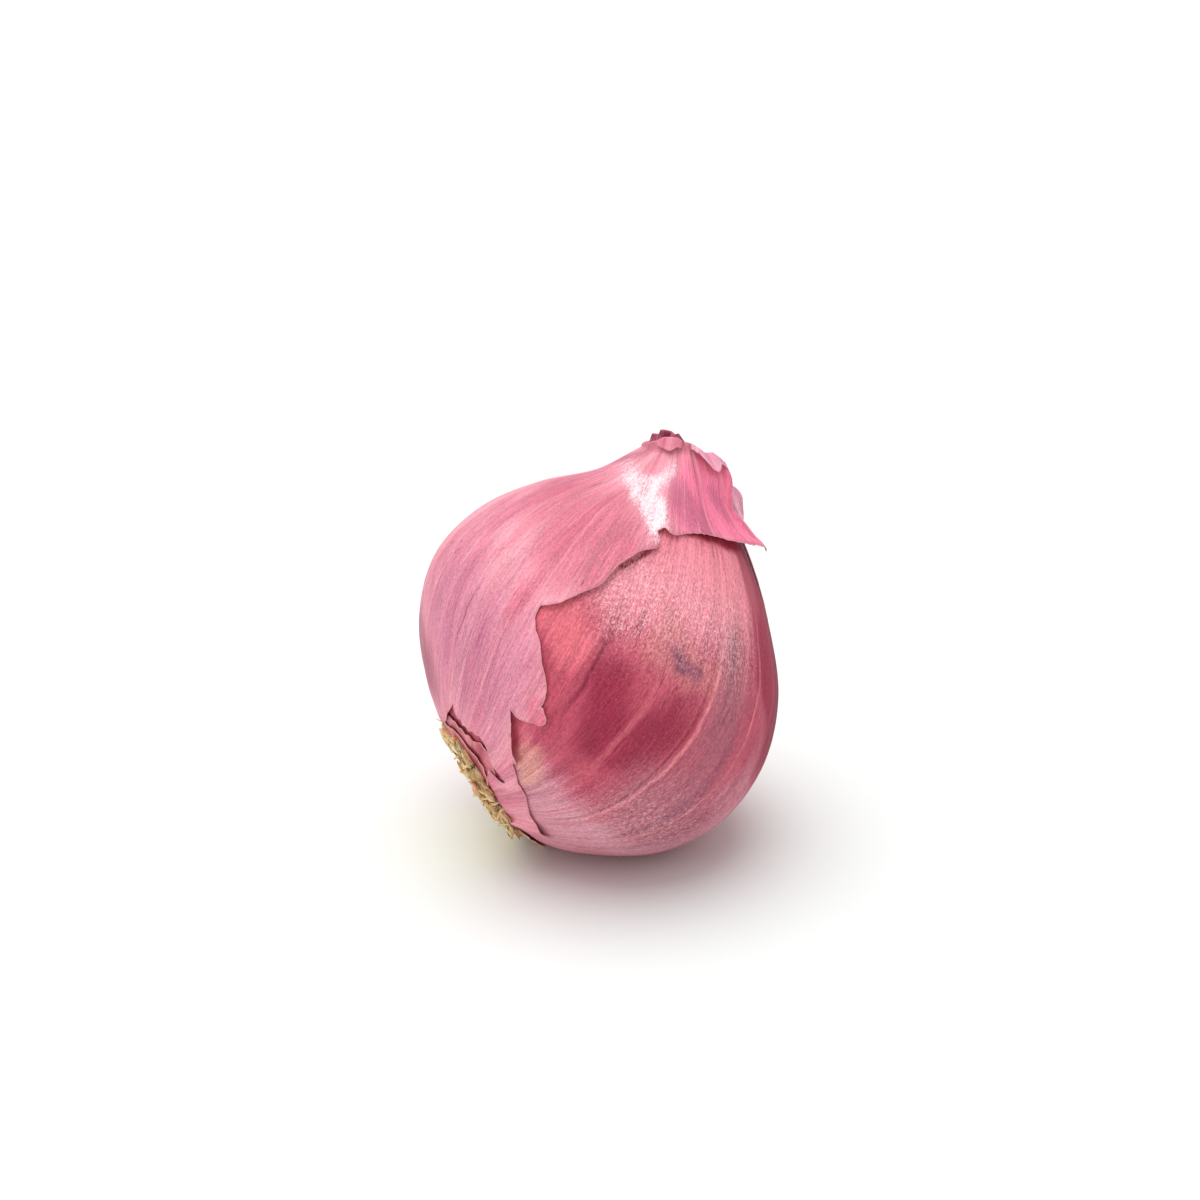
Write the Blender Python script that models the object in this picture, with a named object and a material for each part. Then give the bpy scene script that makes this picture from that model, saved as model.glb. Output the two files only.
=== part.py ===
"""Pink shallot, lying the way it rests on a table.

The fleshy bulb is bent, with its root plate facing down to the left and its neck pointing up.
A torn papery skin still wraps the neck, the left side and the back. A dry tuft of leaf bases
closes the neck, a collar of older skin is left round the base, and short dry roots stand on
the root plate. All skins are cut flat from a pattern of angle and height, and then laid on
the surface of the bulb at a given distance from it.

Metres, +Z up, origin at the centre of the flat spot that the shallot rests on."""

import bmesh
import bpy
import numpy as np
from mathutils import Matrix, Vector
from mathutils.geometry import delaunay_2d_cdt

for old_object in list(bpy.data.objects):
    bpy.data.objects.remove(old_object, do_unlink=True)

MM = 0.001

# The bulb's two outlines in its plane of bend, from the root plate's rim to the neck:
# (to the right, up) in millimetres. The short side is the upper left, the long side the belly.
SHORT_SIDE = [(-17.3, 10.0), (-18.9, 13.6), (-20.7, 18.6), (-21.2, 24.7), (-19.2, 31.8),
              (-14.0, 37.0), (-7.0, 40.0), (0.0, 41.5), (5.2, 44.0)]
LONG_SIDE = [(-9.8, -1.2), (-5.7, -3.4), (1.2, -4.3), (8.3, -3.5), (14.8, 0.2), (19.5, 6.8),
             (21.2, 14.6), (20.3, 22.2), (17.8, 30.6), (14.8, 37.4), (12.2, 43.2)]
LEAN_BACK = np.radians(12)      # the bulb leans away from -Y
FLAT_DEPTH = 0.8 * MM           # how much of the belly the resting spot takes off
BULB_TOP = 0.955                # the flesh stops at this height, inside the neck of the skin
BULB_RINGS = 30
BULB_SIDES = 44

SKIN_GAP = 0.35 * MM            # air between a skin and the bulb
SKIN_THICKNESS = 0.35 * MM
PATTERN_RADIUS = 18 * MM        # turns an angle round the bulb into a width on the flat pattern
PATTERN_HEIGHT = 50 * MM        # length of the pattern from root plate to neck
PATTERN_STEP = 2.7 * MM         # spacing of the points on the flat pattern

# Outline of the outer skin on its flat pattern: (angle in degrees, height from 0 to 1).
# Angle 0 is the right side, 90 the front, 180 the left, 270 the back.
FLAP_EDGE = [(8, 1.0), (8, 0.92), (6, 0.83), (38, 0.835), (66, 0.825), (87, 0.80)]
FRONT_TEAR = [(90, 0.77), (99, 0.70), (107, 0.60), (116, 0.51), (104, 0.43), (101, 0.34),
              (97, 0.24), (80, 0.17), (61, 0.13)]
BASE_EDGE = [(64, 0.09), (80, 0.10), (96, 0.15), (107, 0.21), (128, 0.235), (150, 0.20),
             (180, 0.16), (220, 0.12), (282, 0.10)]
BACK_TEAR = [(292, 0.20), (312, 0.30), (335, 0.40), (345, 0.50), (352, 0.60), (354, 0.72),
             (351, 0.80), (342, 0.86), (340, 1.0)]
FLAP_LIFT = 2.2 * MM            # how far the flap's corner stands off the bulb
NECK_FLARE = 0.5 * MM           # the skin's rim opens a little at the neck

COLLAR_DROP = 0.03              # the collar ends this much below the outer skin's base edge
COLLAR_FOOT = 0.008             # height of its lower edge, at the root plate
FLAKE = [(-13, 0.915), (-10, 0.865), (2, 0.85), (13, 0.875), (12, 0.93), (-2, 0.945)]

ROOT_RADIUS = 6.1 * MM
ROOT_DEPTH = 1.0 * MM           # thickness of the corky plate at its rim
ROOT_KNOBS = 0.9 * MM           # how far the dry root ends stand out of it
NECK_RADIUS = 3.2 * MM
NECK_LENGTH = 3.4 * MM          # tall enough to show above the skin's rim


def smooth_line(points, position):
    """Points at position 0 to 1 along a smooth curve through the given points.

    Each stretch is a cubic whose end slopes are the mean slopes of its neighbours."""
    points = np.array(points, float)
    steps = np.linalg.norm(np.diff(points, axis=0), axis=1)
    knots = np.concatenate([[0], np.cumsum(steps)]) / steps.sum()
    slopes = np.gradient(points, knots, axis=0)
    first = np.clip(np.searchsorted(knots, position, side="right") - 1, 0, len(knots) - 2)
    width = (knots[first + 1] - knots[first])[..., None]
    u = (position - knots[first])[..., None] / width
    return ((2 * u**3 - 3 * u**2 + 1) * points[first]
            + (u**3 - 2 * u**2 + u) * width * slopes[first]
            + (3 * u**2 - 2 * u**3) * points[first + 1]
            + (u**3 - u**2) * width * slopes[first + 1])


def bulb_surface(angle, height):
    """Round rings that each span from the short side to the long side of the bend."""
    short = smooth_line(SHORT_SIDE, height) * MM
    long = smooth_line(LONG_SIDE, height) * MM
    centre = (short + long) / 2
    reach = (long - short) / 2
    turn = np.radians(angle)
    across = centre + reach * np.cos(turn)[..., None]
    depth = -np.linalg.norm(reach, axis=-1) * np.sin(turn)
    return np.stack([across[..., 0], depth, across[..., 1]], axis=-1)


def above_bulb(angle, height, distance):
    """Points at a distance from the bulb, measured square to its surface."""
    low, high = np.clip(height - 0.01, 0, 1), np.clip(height + 0.01, 0, 1)
    upward = bulb_surface(angle, high) - bulb_surface(angle, low)
    round_the_bulb = bulb_surface(angle + 1, height) - bulb_surface(angle - 1, height)
    normal = np.cross(upward, round_the_bulb)
    normal /= np.linalg.norm(normal, axis=-1, keepdims=True)
    return bulb_surface(angle, height) + normal * np.array(distance)[..., None]


def bell(x, centre, width):
    return np.exp(-((x - centre) / width) ** 2)


def add_part(name, vertices, faces, colour, roughness):
    """A named object with its own material, carried by the leaning frame."""
    mesh = bpy.data.meshes.new(name)
    mesh.from_pydata([tuple(v) for v in vertices], [], faces)
    mesh.update()
    part = bpy.data.objects.new(name, mesh)
    bpy.context.collection.objects.link(part)
    part.parent = leaning_frame
    material = bpy.data.materials.new(name)
    material.use_nodes = True
    shader = material.node_tree.nodes["Principled BSDF"]
    shader.inputs["Base Color"].default_value = (*colour, 1)
    shader.inputs["Roughness"].default_value = roughness
    shader.inputs["Metallic"].default_value = 0.0
    mesh.materials.append(material)
    mesh.shade_smooth()
    return part


def ring_faces(rings, sides):
    """Quads between neighbouring rings, and one flat cap at either end."""
    faces = [tuple(reversed(range(sides)))]
    for ring in range(rings - 1):
        for side in range(sides):
            a, b = ring * sides + side, ring * sides + (side + 1) % sides
            faces.append((a, b, b + sides, a + sides))
    faces.append(tuple(range((rings - 1) * sides, rings * sides)))
    return faces


def inside(points, outline):
    """True for the points inside a closed outline, by counting crossings to the right."""
    x, y = points[:, :1], points[:, 1:]
    x0, y0 = outline.T
    x1, y1 = np.roll(outline, -1, axis=0).T
    spans = (y0 > y) != (y1 > y)
    rise = np.where(y1 == y0, 1, y1 - y0)
    crossings = spans & (x < x0 + (y - y0) * (x1 - x0) / rise)
    return crossings.sum(axis=1) % 2 == 1


def resampled(points):
    """One stretch of an outline, smooth and evenly stepped, without its last point."""
    scale = np.array([np.radians(1) * PATTERN_RADIUS, PATTERN_HEIGHT])
    length = np.linalg.norm(np.diff(np.array(points, float) * scale, axis=0), axis=1).sum()
    count = max(2, round(length / PATTERN_STEP))
    return smooth_line(np.array(points) * scale, np.arange(count) / count)


def add_skin(name, stretches, distance, colour, roughness):
    """Cuts a skin from its flat pattern, lays it on the bulb and gives it its thickness."""
    outline = np.concatenate([resampled(stretch) for stretch in stretches])
    low, high = outline.min(axis=0), outline.max(axis=0)
    across, up = np.meshgrid(np.arange(low[0], high[0], PATTERN_STEP),
                             np.arange(low[1], high[1], PATTERN_STEP))
    across = across + np.where(np.arange(len(up)) % 2, PATTERN_STEP / 2, 0)[:, None]
    filling = np.stack([across.ravel(), up.ravel()], axis=1)
    filling = filling[inside(filling, outline)]
    clearance = np.linalg.norm(filling[:, None] - outline, axis=2).min(axis=1)
    filling = filling[clearance > 0.55 * PATTERN_STEP]
    points = [Vector(p) for p in np.concatenate([outline, filling]) / MM]
    rim = [(i, (i + 1) % len(outline)) for i in range(len(outline))]
    cut = delaunay_2d_cdt(points, rim, [], 1, 1e-5)
    flat = np.array([tuple(p) for p in cut[0]]) * MM
    angle = np.degrees(flat[:, 0] / PATTERN_RADIUS)
    height = np.clip(flat[:, 1] / PATTERN_HEIGHT, 0, 1)
    faces = [tuple(reversed(face)) for face in cut[2]]
    skin = add_part(name, above_bulb(angle, height, distance(angle, height)), faces, colour, roughness)
    solid = skin.modifiers.new("thickness", "SOLIDIFY")
    solid.thickness = SKIN_THICKNESS
    solid.offset = 1
    return skin


def place_on_end(part, height):
    """Sets a part on the middle of a ring of the bulb, with its +Z away from the bulb."""
    end = np.array([height])
    middle = (bulb_surface(np.array([0.0]), end) + bulb_surface(np.array([180.0]), end))[0] / 2
    side = Vector(bulb_surface(np.array([0.0]), end)[0] - middle).normalized()
    front = Vector((0, -1, 0))
    outward = side.cross(front) if height == 0 else front.cross(side)
    turn = Matrix((side, outward.cross(side), outward)).transposed()
    part.matrix_local = Matrix.Translation(middle) @ turn.to_4x4()


# The frame that carries everything, leaning away from the front
leaning_frame = bpy.data.objects.new("leaning_frame", None)
bpy.context.collection.objects.link(leaning_frame)
leaning_frame.rotation_euler = (-LEAN_BACK, 0, 0)

# Bulb: solid flesh in its own tight skin, one piece, with a flat spot on its belly
ring_heights = np.concatenate([np.linspace(0, BULB_TOP - 0.005, BULB_RINGS), [BULB_TOP]])
ring_angles = np.arange(BULB_SIDES) * 360 / BULB_SIDES
angles, heights = np.meshgrid(ring_angles, ring_heights)
points = bulb_surface(angles, heights)
last_ring = points[-1]
points[-1] = last_ring.mean(axis=0) + (last_ring - last_ring.mean(axis=0)) * 0.8
bulb = add_part("bulb", points.reshape(-1, 3), ring_faces(BULB_RINGS + 1, BULB_SIDES),
                (0.45, 0.12, 0.15), 0.4)
to_world = Matrix.Rotation(-LEAN_BACK, 3, "X")
world_heights = [(to_world @ v.co).z for v in bulb.data.vertices]
floor = min(world_heights) + FLAT_DEPTH
down = to_world.inverted() @ Vector((0, 0, -1))
flesh = bmesh.new()
flesh.from_mesh(bulb.data)
bmesh.ops.bisect_plane(flesh, geom=flesh.verts[:] + flesh.edges[:] + flesh.faces[:],
                       plane_co=down * -floor, plane_no=down, clear_outer=True)
rim = [edge for edge in flesh.edges if edge.is_boundary]
flat_spot = bmesh.ops.contextual_create(flesh, geom=rim)["faces"][0]
flat_spot.smooth = False
bmesh.ops.recalc_face_normals(flesh, faces=flesh.faces)
centre = to_world @ flat_spot.calc_center_median()
flesh.to_mesh(bulb.data)
flesh.free()
leaning_frame.location = -centre


# Outer skin: one torn sheet of dry skin, with a lifted flap at the right of the neck
def outer_skin_distance(angle, height):
    flap = bell(angle, 6, 42) * np.clip((1 - height) / 0.165, 0, 1) * (height > 0.79)
    flare = np.clip((height - 0.94) / 0.06, 0, 1) ** 2
    return SKIN_GAP + FLAP_LIFT * flap + NECK_FLARE * flare


neck_rim = [(340, 1.0), (174, 1.0), (8, 1.0)]
outer_skin = add_skin("outer_skin",
                      [FLAP_EDGE[:3], FLAP_EDGE[2:] + FRONT_TEAR[:1], FRONT_TEAR, FRONT_TEAR[-1:] + BASE_EDGE,
                       BASE_EDGE[-1:] + BACK_TEAR, neck_rim],
                      outer_skin_distance, (0.72, 0.27, 0.33), 0.35)


# Base skin: a collar of older, drier skin between the outer skin and the root plate
def plain_distance(angle, height):
    return np.full(len(angle), SKIN_GAP)


collar_top = [(angle, height - COLLAR_DROP) for angle, height in BASE_EDGE]
collar_foot = [(282, COLLAR_FOOT), (170, COLLAR_FOOT), (64, COLLAR_FOOT)]
base_skin = add_skin("base_skin",
                     [collar_top, [collar_top[-1], collar_foot[0]], collar_foot,
                      [collar_foot[-1], collar_top[0]]],
                     plain_distance, (0.55, 0.22, 0.2), 0.55)

# Neck flake: a small dark scrap of an older skin, under the flap at the right of the neck
neck_flake = add_skin("neck_flake", [FLAKE + FLAKE[:1]], plain_distance, (0.25, 0.05, 0.08), 0.5)

# Root plate: a corky disc with the dry ends of the roots standing on it, grown as one piece
plate_rings = np.array([0.999, 1.0, 1.0, 0.94, 0.78, 0.58, 0.36, 0.14])
plate_depths = np.array([0.0, 0.15, 0.75, 1.0, 1.0, 1.0, 1.0, 1.0])
plate_sides = 30
turn, ring = np.meshgrid(np.arange(plate_sides) * 2 * np.pi / plate_sides, plate_rings)
depth = np.repeat(plate_depths[:, None], plate_sides, axis=1) * ROOT_DEPTH
knobs = np.sin(5 * turn + 7 * ring) * np.cos(3 * turn - 9 * ring)
depth += np.where(depth >= ROOT_DEPTH, ROOT_KNOBS * (0.5 + 0.5 * knobs), 0)
plate = np.stack([ring * np.cos(turn) * ROOT_RADIUS, ring * np.sin(turn) * ROOT_RADIUS,
                  depth + SKIN_GAP], axis=-1)
root_plate = add_part("root_plate", plate.reshape(-1, 3), ring_faces(len(plate_rings), plate_sides),
                      (0.62, 0.42, 0.26), 0.85)
place_on_end(root_plate, 0)

# Neck tuft: the dry leaf bases that close the neck, folded together to a ragged tip
tuft_rings = np.array([0.9, 1.0, 0.96, 0.8, 0.45])
tuft_levels = np.array([0.0, 0.2, 0.5, 0.8, 1.0])
tuft_sides = 24
turn, ring = np.meshgrid(np.arange(tuft_sides) * 2 * np.pi / tuft_sides, tuft_rings)
level = np.repeat(tuft_levels[:, None], tuft_sides, axis=1)
folds = 1 + 0.12 * level * np.sin(5 * turn + 1) + 0.08 * level * np.sin(3 * turn)
tuft = np.stack([ring * folds * np.cos(turn) * NECK_RADIUS, ring * folds * np.sin(turn) * NECK_RADIUS,
                 level * NECK_LENGTH + SKIN_GAP], axis=-1)
neck_tuft = add_part("neck_tuft", tuft.reshape(-1, 3), ring_faces(len(tuft_rings), tuft_sides),
                     (0.36, 0.09, 0.12), 0.7)
place_on_end(neck_tuft, BULB_TOP)
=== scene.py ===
"""The looks of a pink shallot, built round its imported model.

A plump bent bulb lies on its belly. A torn papery skin wraps its neck, its left side and its
back, older skin clings to its base, dry leaf tips close its neck and dry roots end its plate."""

import bpy
import numpy as np
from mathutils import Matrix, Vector
from mathutils.geometry import delaunay_2d_cdt


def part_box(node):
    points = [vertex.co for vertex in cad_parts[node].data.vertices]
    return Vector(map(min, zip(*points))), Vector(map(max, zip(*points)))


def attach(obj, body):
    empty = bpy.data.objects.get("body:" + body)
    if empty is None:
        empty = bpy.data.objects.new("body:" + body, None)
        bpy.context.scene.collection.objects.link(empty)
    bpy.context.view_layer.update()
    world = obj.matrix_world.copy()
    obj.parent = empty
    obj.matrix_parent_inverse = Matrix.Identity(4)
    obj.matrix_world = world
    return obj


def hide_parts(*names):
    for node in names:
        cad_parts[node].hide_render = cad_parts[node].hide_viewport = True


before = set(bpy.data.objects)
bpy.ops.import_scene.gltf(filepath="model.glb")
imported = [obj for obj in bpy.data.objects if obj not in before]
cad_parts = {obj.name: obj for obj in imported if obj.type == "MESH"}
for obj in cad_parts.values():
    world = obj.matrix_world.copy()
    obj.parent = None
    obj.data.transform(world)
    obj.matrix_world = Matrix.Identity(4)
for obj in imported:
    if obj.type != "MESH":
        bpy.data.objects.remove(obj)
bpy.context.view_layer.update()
MM = 0.001

# ------------------------------------------------------------------ bulb
# The living flesh, closed in its own tight, glossy skin. It is one grown piece, bent so that
# the root plate looks down to the left while the neck points up.

# Its two outlines in the plane of its bend, from the rim of the root plate to the neck:
# (to the right, up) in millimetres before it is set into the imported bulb's box.
SHORT_SIDE = [
    (-17.3, 10), (-18.9, 13.6), (-20.7, 18.6), (-21.2, 24.7), (-19.2, 31.8), (-14, 37), (-7, 40),
    (0, 41.5), (5.2, 44)]
LONG_SIDE = [
    (-9.8, -1.2), (-5.7, -3.4), (1.2, -4.3), (8.3, -3.5), (14.8, 0.2), (19.5, 6.8), (21.2, 14.6),
    (20.3, 22.2), (17.8, 30.6), (14.8, 37.4), (12.2, 43.2)]
LEAN_BACK = np.radians(12)
BULB_TOP = 0.955            # the flesh ends at this share of the way from root plate to neck
LEAF_LENGTH = 50.0          # millimetres of leaf from height 0 to height 1
BELLY_RADIUS = 18.0         # millimetres of leaf round the belly for each radian of turn
VEIN_POLE = 105.0           # the veins crowd towards this side of the root plate (degrees)


def smooth_line(points, position):
    """Points at position 0 to 1 along a curve through the given points: each stretch is a
    cubic whose end slopes are the mean slopes of its neighbours."""
    points = np.array(points, float)
    steps = np.linalg.norm(np.diff(points[:, :2], axis=0), axis=1)
    knots = np.concatenate([[0], np.cumsum(steps)]) / steps.sum()
    slopes = np.gradient(points, knots, axis=0)
    first = np.clip(np.searchsorted(knots, position, side="right") - 1, 0, len(knots) - 2)
    width = (knots[first + 1] - knots[first])[..., None]
    u = (position - knots[first])[..., None] / width
    return ((2 * u**3 - 3 * u**2 + 1) * points[first]
            + (u**3 - 2 * u**2 + u) * width * slopes[first]
            + (3 * u**2 - 2 * u**3) * points[first + 1]
            + (u**3 - u**2) * width * slopes[first + 1])


def plain_bulb(turn, height):
    """Round rings, each spanning from the short side to the long side, then leaned back.

    turn runs in degrees round the bulb: 0 right, 90 front, 180 left, 270 back. height runs
    from 0 at the root plate to 1 at the neck, and above 1 the neck carries straight on."""
    inner, beyond = np.minimum(height, 1), np.maximum(height - 1, 0)[..., None]
    short, long = smooth_line(SHORT_SIDE, inner), smooth_line(LONG_SIDE, inner)
    chord = np.subtract(LONG_SIDE[-1], SHORT_SIDE[-1])
    neck_way = np.array([-chord[1], chord[0]]) / np.linalg.norm(chord)
    centre = (short + long) / 2 + neck_way * beyond * LEAF_LENGTH
    reach = (long - short) / 2 * (1 - 3 * beyond)
    angle = np.radians(turn)
    across = centre + reach * np.cos(angle)[..., None]
    depth = -np.linalg.norm(reach, axis=-1) * np.sin(angle)
    up = across[..., 1]
    return np.stack([across[..., 0], depth * np.cos(LEAN_BACK) + up * np.sin(LEAN_BACK),
                     up * np.cos(LEAN_BACK) - depth * np.sin(LEAN_BACK)], axis=-1)


rough_turn, rough_height = np.meshgrid(np.linspace(0, 360, 181), np.linspace(0, BULB_TOP, 120))
rough = plain_bulb(rough_turn, rough_height).reshape(-1, 3)
box_low, box_high = np.array(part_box("bulb"))
bulb_scale = (box_high[0] - box_low[0]) / np.ptp(rough[:, 0])
bulb_shift = box_high - rough.max(axis=0) * bulb_scale
FLOOR = box_low[2]


def bell(x, centre, width):
    """A smooth hump of height 1."""
    return np.exp(-((x - centre) / width) ** 2)


def ease(x, start, end):
    """0 before start, 1 after end, and a smooth S between."""
    t = np.clip((x - start) / (end - start), 0, 1)
    return t * t * (3 - 2 * t)


def waves(x, y, seed, count=14, finest=1.0):
    """A smooth random relief from -1 to 1: a sum of sine waves of random direction and phase."""
    random = np.random.default_rng(seed)
    total = np.zeros(np.broadcast(x, y).shape)
    for step in range(count):
        pitch = finest * (0.25 + 0.75 * step / count)
        heading, phase = random.uniform(0, 2 * np.pi, 2)
        total += np.sin((x * np.cos(heading) + y * np.sin(heading)) * pitch + phase) / np.sqrt(count)
    return total


def vein_at(turn, height):
    """Which vein runs through a place, in degrees from the pole. Low on the bulb the tangent of
    half the turn is divided by a share that falls towards the root plate, so veins crowd."""
    half = np.radians(np.mod(turn - VEIN_POLE + 180, 360) - 180) / 2
    crowd = np.minimum(0.5 + 0.62 * height, 1)
    return 2 * np.degrees(np.arctan2(np.sin(half), crowd * np.cos(half)))


def bulb_surface(turn, height):
    """The plain bulb in its packed place."""
    return plain_bulb(turn, height) * bulb_scale + bulb_shift


def square_off(turn, height):
    """The direction square to the surface, from the cross product of its two slopes."""
    upward = bulb_surface(turn, height + 0.004) - bulb_surface(turn, np.maximum(height - 0.004, 0))
    sideways = bulb_surface(turn + 0.5, height) - bulb_surface(turn - 0.5, height)
    normal = np.cross(upward, sideways)
    return normal / np.linalg.norm(normal, axis=-1, keepdims=True)


def over_bulb(turn, height, distance):
    """Points at a distance (in millimetres) off the bulb's surface."""
    return bulb_surface(turn, height) + square_off(turn, height) * (np.array(distance) * MM)[..., None]


def smear(vein, height, start, end, width):
    """A smooth hump along a straight smear between two (vein, height) places: it falls off as a
    bell of the distance, in millimetres of leaf, from the nearest point between them."""
    scale = np.array([np.radians(BELLY_RADIUS), LEAF_LENGTH])
    start, end = np.array(start) * scale, np.array(end) * scale
    run = end - start
    off = np.stack([vein * scale[0] - start[0], height * scale[1] - start[1]], axis=-1)
    share = np.clip((off @ run) / max(run @ run, 1e-9), 0, 1)[..., None]
    return bell(np.linalg.norm(off - share * run, axis=-1), 0, width)


def patch(vein, height, smears, wander=0.0, most=1.0):
    """A mask put together from smears (share, drift, start, end, width): their humps, each times
    its share, are added up and cut off at the most. Drift tells how far a smear's height follows
    the wander."""
    total = sum(share * smear(vein, height + drift * wander, start, end, width)
                for share, drift, start, end, width in smears)
    return np.clip(total, 0, most)


def add_piece(name, points, faces, turn, height, materials, masks=()):
    """One mesh object from whole arrays: its skin UV is (turn / 360, height) at every corner of
    every face, and its masks are named values at the vertices."""
    mesh = bpy.data.meshes.new(name)
    corner_counts = np.concatenate([np.full(len(f), f.shape[1]) for f in faces])
    corners = np.concatenate([f.ravel() for f in faces]).astype(np.int32)
    mesh.vertices.add(len(points))
    mesh.vertices.foreach_set("co", points.astype(np.float32).ravel())
    mesh.loops.add(len(corners))
    mesh.loops.foreach_set("vertex_index", corners)
    mesh.polygons.add(len(corner_counts))
    mesh.polygons.foreach_set("loop_start", (np.cumsum(corner_counts) - corner_counts).astype(np.int32))
    mesh.update(calc_edges=True)
    across = []
    for f in faces:
        share = turn[f] / 360
        share = share + ((share.max(axis=1, keepdims=True) - share) > 0.5)
        across.append(share.ravel())
    skin_uv = np.stack([np.concatenate(across), height[corners]], axis=1)
    mesh.uv_layers.new(name="skin").data.foreach_set("uv", skin_uv.astype(np.float32).ravel())
    for mask_name, values in dict(masks).items():
        mask = mesh.attributes.new(mask_name, "FLOAT", "POINT")
        mask.data.foreach_set("value", values.astype(np.float32).ravel())
    mesh.shade_smooth()
    for material in materials:
        mesh.materials.append(material)
    piece = bpy.data.objects.new(name, mesh)
    bpy.context.scene.collection.objects.link(piece)
    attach(piece, "root")
    return piece


def grid_quads(rows, columns, closed=True):
    """Quads between neighbouring rows of points. A closed grid joins its last column to its first."""
    steps = columns if closed else columns - 1
    row, column = np.meshgrid(np.arange(rows - 1), np.arange(steps), indexing="ij")
    a = (row * columns + column).ravel()
    b = (row * columns + (column + 1) % columns).ravel()
    return np.stack([a, b, b + columns, a + columns], axis=1)


def closed_rings(rings, sides):
    """Quads between neighbouring rings, and a fan of triangles to one extra point at each end."""
    side, last = np.arange(sides), (rings - 1) * sides
    after = (side + 1) % sides
    foot = np.stack([after, side, np.full(sides, rings * sides)], axis=1)
    head = np.stack([last + side, last + after, np.full(sides, rings * sides + 1)], axis=1)
    return [grid_quads(rings, sides), np.concatenate([foot, head])]


def srgb(red, green, blue):
    """A colour given as 0 to 255 on screen, turned into the linear value a shader takes."""
    value = np.array([red, green, blue]) / 255
    linear = np.where(value <= 0.04045, value / 12.92, ((value + 0.055) / 1.055) ** 2.4)
    return (*linear, 1.0)


class Shader:
    """A node tree that is wired in short lines: each call adds one node and returns an output."""

    def __init__(self, tree):
        self.tree = tree

    def link(self, output, entry):
        self.tree.links.new(output, entry)

    def fill(self, node, inputs):
        for name, value in dict(inputs).items():
            if isinstance(value, bpy.types.NodeSocket):
                self.link(value, node.inputs[name])
            else:
                node.inputs[name].default_value = value
        return node

    def node(self, kind, inputs=(), **settings):
        node = self.tree.nodes.new(kind)
        for name, value in settings.items():
            setattr(node, name, value)
        return self.fill(node, inputs)

    def math(self, operation, *values):
        return self.node("ShaderNodeMath", dict(enumerate(values)), operation=operation).outputs[0]

    def times(self, first, second):
        return self.math("MULTIPLY", first, second)

    def near(self, value, middle, width):
        """1 where the value is the middle, falling to 0 at the width to either side."""
        return self.between(self.math("ABSOLUTE", self.math("SUBTRACT", value, middle)), 0, width, 1, 0)

    def noise(self, vector, scale, detail=3.0, roughness=0.5):
        values = {"Vector": vector, "Scale": scale, "Detail": detail, "Roughness": roughness}
        return self.node("ShaderNodeTexNoise", values).outputs["Fac"]

    def stretch(self, vector, scale):
        values = {0: vector, 1: scale}
        return self.node("ShaderNodeVectorMath", values, operation="MULTIPLY").outputs[0]

    def between(self, value, low, high, out_low=0.0, out_high=1.0):
        values = {"Value": value, "From Min": low, "From Max": high,
                  "To Min": out_low, "To Max": out_high}
        node = self.node("ShaderNodeMapRange", values, interpolation_type="SMOOTHSTEP")
        return node.outputs["Result"]

    def mix(self, amount, first, second):
        values = {0: amount, 6: first, 7: second}
        return self.node("ShaderNodeMix", values, data_type="RGBA").outputs[2]

    def mask(self, name):
        return self.node("ShaderNodeAttribute", attribute_name=name).outputs["Fac"]

    def tint(self, colour, amount, strength, shade):
        """Mixes a colour given as 0 to 255 in, by an amount times a strength."""
        return self.mix(self.times(amount, strength), colour, srgb(*shade))

    def dim(self, colour, factor):
        values = {0: colour, "Scale": factor}
        return self.node("ShaderNodeVectorMath", values, operation="SCALE").outputs[0]


def new_group(name, inputs, outputs):
    """A shader node group with its named inputs (name, kind, value) and outputs (name, kind)."""
    group = bpy.data.node_groups.new(name, "ShaderNodeTree")
    for socket_name, kind, value in inputs:
        socket = group.interface.new_socket(name=socket_name, in_out="INPUT", socket_type=kind)
        socket.default_value = value
    for socket_name, kind in outputs:
        group.interface.new_socket(name=socket_name, in_out="OUTPUT", socket_type=kind)
    shader = Shader(group)
    entry = group.nodes.new("NodeGroupInput")
    leave = group.nodes.new("NodeGroupOutput")
    return group, shader, entry.outputs, leave.inputs


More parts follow.
